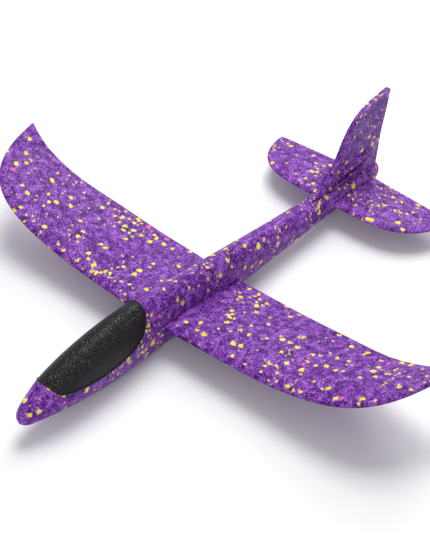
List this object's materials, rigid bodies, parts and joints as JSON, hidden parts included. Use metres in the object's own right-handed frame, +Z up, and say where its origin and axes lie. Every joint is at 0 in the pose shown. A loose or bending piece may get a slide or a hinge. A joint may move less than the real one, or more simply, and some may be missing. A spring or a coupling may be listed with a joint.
{
  "type": "foam hand glider",
  "caption": "Hand-launch glider of moulded foam: one-piece swept-tip wing and tailplane through slots, integral fin, black canopy",
  "frame": {"origin": "on the floor under the middle of the glider's box, in the glider's centre plane", "axes": "+X out of the nose, +Y to the port wing tip, +Z up, resting on its belly with the nose about four degrees up"},
  "size_m": [0.4699, 0.49, 0.1086],
  "materials": {
    "foam_body": "purple marbled expanded polypropylene foam with yellow flecks",
    "canopy_black": "black grained moulding with a satin sheen",
    "weight_steel": "plain cut steel"
  },
  "bodies": {
    "fuselage": {"fuselage": "foam_body", "wing": "foam_body", "nose_weight": "weight_steel"},
    "tailplane": {"tailplane": "foam_body"},
    "canopy": {"canopy": "canopy_black"}
  },
  "joints": [
    {"name": "tailplane_slide", "type": "slide", "parent": "fuselage", "child": "tailplane", "axis": [0, 1, 0], "range_m": [0, 0.115]},
    {"name": "canopy_lift", "type": "slide", "parent": "fuselage", "child": "canopy", "axis": [0, 0, 1], "range_m": [0, 0.06]}
  ]
}
